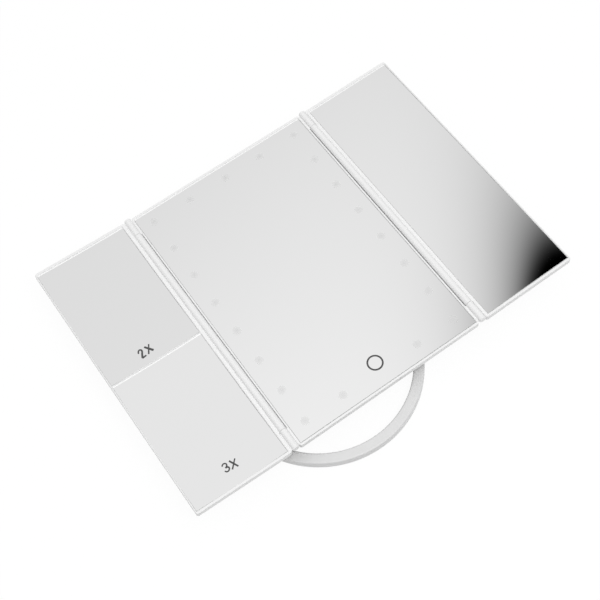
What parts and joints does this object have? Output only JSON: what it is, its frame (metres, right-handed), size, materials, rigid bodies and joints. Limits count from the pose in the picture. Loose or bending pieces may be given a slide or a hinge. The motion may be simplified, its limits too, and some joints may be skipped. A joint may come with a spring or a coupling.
{
  "type": "trifold vanity mirror",
  "caption": "Tabletop vanity mirror: a lit middle panel, a plain right wing and a magnifying left wing on side hinges, and a round stand that turns and tilts on the back.",
  "frame": {"origin": "bottom centre of the overall box, on the table under the folded ring stand, with the mirror lying face up", "axes": "+X across the mirror to the plain wing, +Y up the mirror (towards its upper edge), +Z out of the mirror's face"},
  "size_m": [0.3778, 0.2962, 0.0337],
  "materials": {
    "white_shell": "satin moulded white",
    "white_back": "fine spark-textured white",
    "white_stand": "satin moulded white",
    "silvered_glass": "polished, silvered on the back",
    "magnifying_mirror": "polished, hollow",
    "adhesive_foam": "white adhesive sheet",
    "soft_rubber": "matt pale grey",
    "steel": "plain, plated",
    "tray_plastic": "moulded",
    "cell_jacket": "printed sleeve",
    "white_board": "white solder resist",
    "green_board": "green solder resist",
    "led_lens": "phosphor under clear resin",
    "conductive_foam": "carbon-filled foam",
    "dark_plastic": "moulded black",
    "lead_jacket": "soft PVC sleeve",
    "slip_plastic": "natural acetal"
  },
  "bodies": {
    "middle": {"centre_frame": "white_shell", "hinge_pins": "steel", "centre_mirror": "silvered_glass", "centre_mirror_tape": "adhesive_foam", "rear_cover": "white_back", "battery_tray": "tray_plastic", "battery_cells": "cell_jacket", "battery_contacts": "steel", "battery_springs": "steel", "led_strip_left": "white_board", "led_strip_right": "white_board", "led_strip_top": "white_board", "led_strip_bottom": "white_board", "leds": "led_lens", "touch_board": "green_board", "touch_electrode": "conductive_foam", "control_board": "green_board", "board_screws": "steel", "board_parts": "dark_plastic", "usb_socket": "steel", "switch_body": "dark_plastic", "wiring": "lead_jacket", "cover_screws": "steel", "swivel_wear_ring": "slip_plastic"},
    "left_wing": {"mirror_2x": "magnifying_mirror", "mirror_3x": "magnifying_mirror", "left_wing_frame": "white_shell", "left_wing_back": "white_back"},
    "right_wing": {"right_wing_frame": "white_shell", "right_mirror": "silvered_glass", "right_mirror_tape": "adhesive_foam", "right_wing_back": "white_back"},
    "swivel": {"swivel_turntable": "white_stand", "hub_foot_pad": "soft_rubber", "swivel_washer": "steel", "swivel_screw": "steel"},
    "stand": {"stand_ring": "white_stand", "ring_grip_strip": "soft_rubber", "tilt_pin": "steel", "tilt_washers": "steel"},
    "door": {"battery_door": "white_back"},
    "knob": {"switch_knob": "dark_plastic"}
  },
  "joints": [
    {"name": "left_wing_hinge", "type": "hinge", "parent": "middle", "child": "left_wing", "pos_m": [-0.09456, 0.01583, 0.0284], "axis": [0, 1, 0], "range_deg": [-3.4, 176.6]},
    {"name": "right_wing_hinge", "type": "hinge", "parent": "middle", "child": "right_wing", "pos_m": [0.09464, 0.01583, 0.0284], "axis": [0, -1, 0], "range_deg": [-1.1, 178.9]},
    {"name": "stand_swivel", "type": "hinge", "parent": "middle", "child": "swivel", "pos_m": [0.00004, 0.01583, 0.0106], "axis": [0, 0, 1], "continuous": true},
    {"name": "stand_tilt", "type": "hinge", "parent": "swivel", "child": "stand", "pos_m": [0.00004, 0.01583, 0.0052], "axis": [0.9143, -0.4051, 0], "range_deg": [0, 90]},
    {"name": "battery_door_slide", "type": "slide", "parent": "middle", "child": "door", "axis": [0, -1, 0], "range_m": [0, 0.045]},
    {"name": "power_switch_slide", "type": "slide", "parent": "middle", "child": "knob", "axis": [0, 1, 0], "range_m": [0, 0.0025]}
  ]
}
